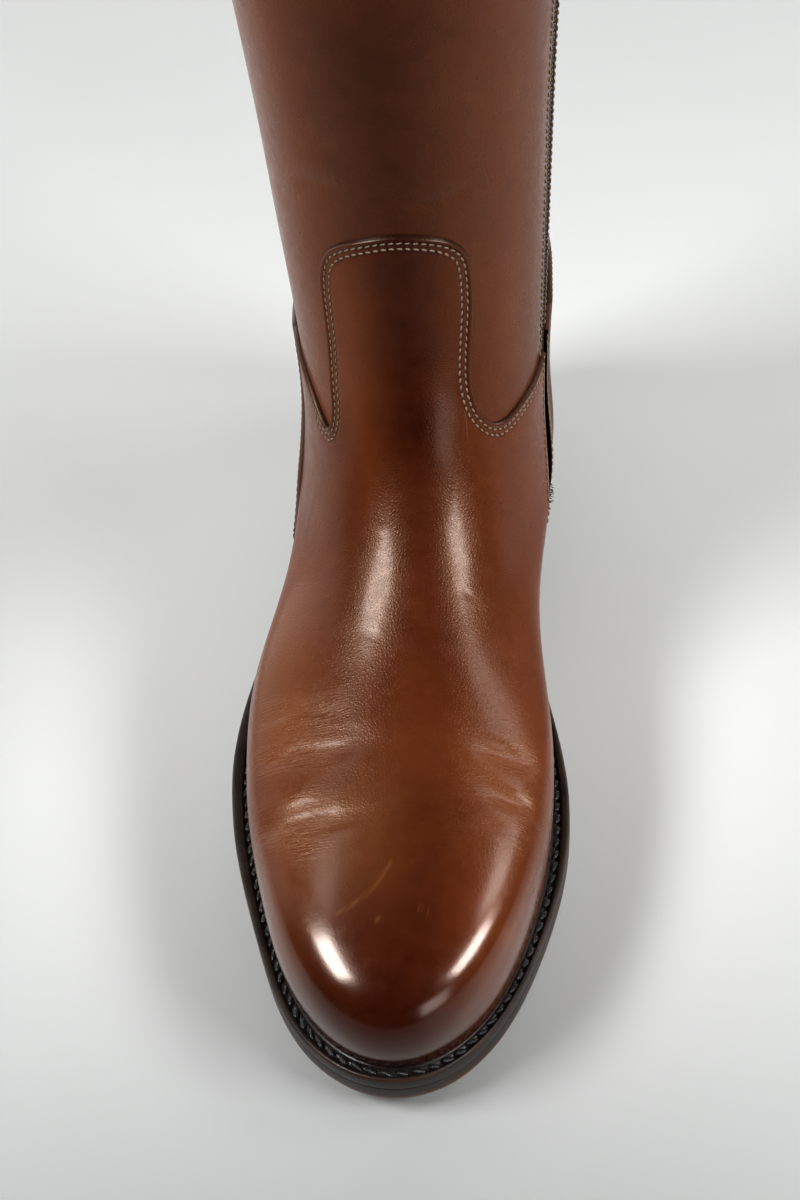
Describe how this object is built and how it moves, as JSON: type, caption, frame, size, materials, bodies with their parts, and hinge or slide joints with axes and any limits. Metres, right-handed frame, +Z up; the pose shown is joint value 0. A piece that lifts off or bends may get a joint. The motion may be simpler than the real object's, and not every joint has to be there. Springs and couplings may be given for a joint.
{
  "type": "leather boot",
  "caption": "Tall brown leather boot for the right foot, with a stitched vamp tab, welted leather sole, stacked heel and an inner side zip.",
  "frame": {"origin": "on the floor, under the centre of the boot's bounding box", "axes": "+Z up along the shaft, -Y towards the toe, +X towards the inner side of the foot, where the zip is"},
  "size_m": [0.116, 0.299, 0.38],
  "materials": {
    "brown_leather": "polished",
    "sole_leather": "waxed",
    "welt_leather": "waxed",
    "heel_leather": "waxed",
    "lining_leather": "matte",
    "zip_fabric": "woven",
    "zip_coil": "satin",
    "zip_metal": "satin"
  },
  "bodies": {
    "boot": {"upper": "brown_leather", "welt": "welt_leather", "outsole": "sole_leather", "heel": "heel_leather", "insole": "lining_leather", "zip_tape": "zip_fabric", "zip_chain": "zip_coil", "zip_slider": "zip_metal"},
    "pull": {"zip_pull": "zip_metal"}
  },
  "joints": [
    {"name": "zip_pull_swing", "type": "hinge", "parent": "boot", "child": "pull", "pos_m": [0.05614, 0.06726, 0.3694], "axis": [-0.1454, -0.9894, 0], "range_deg": [0, 150]}
  ]
}
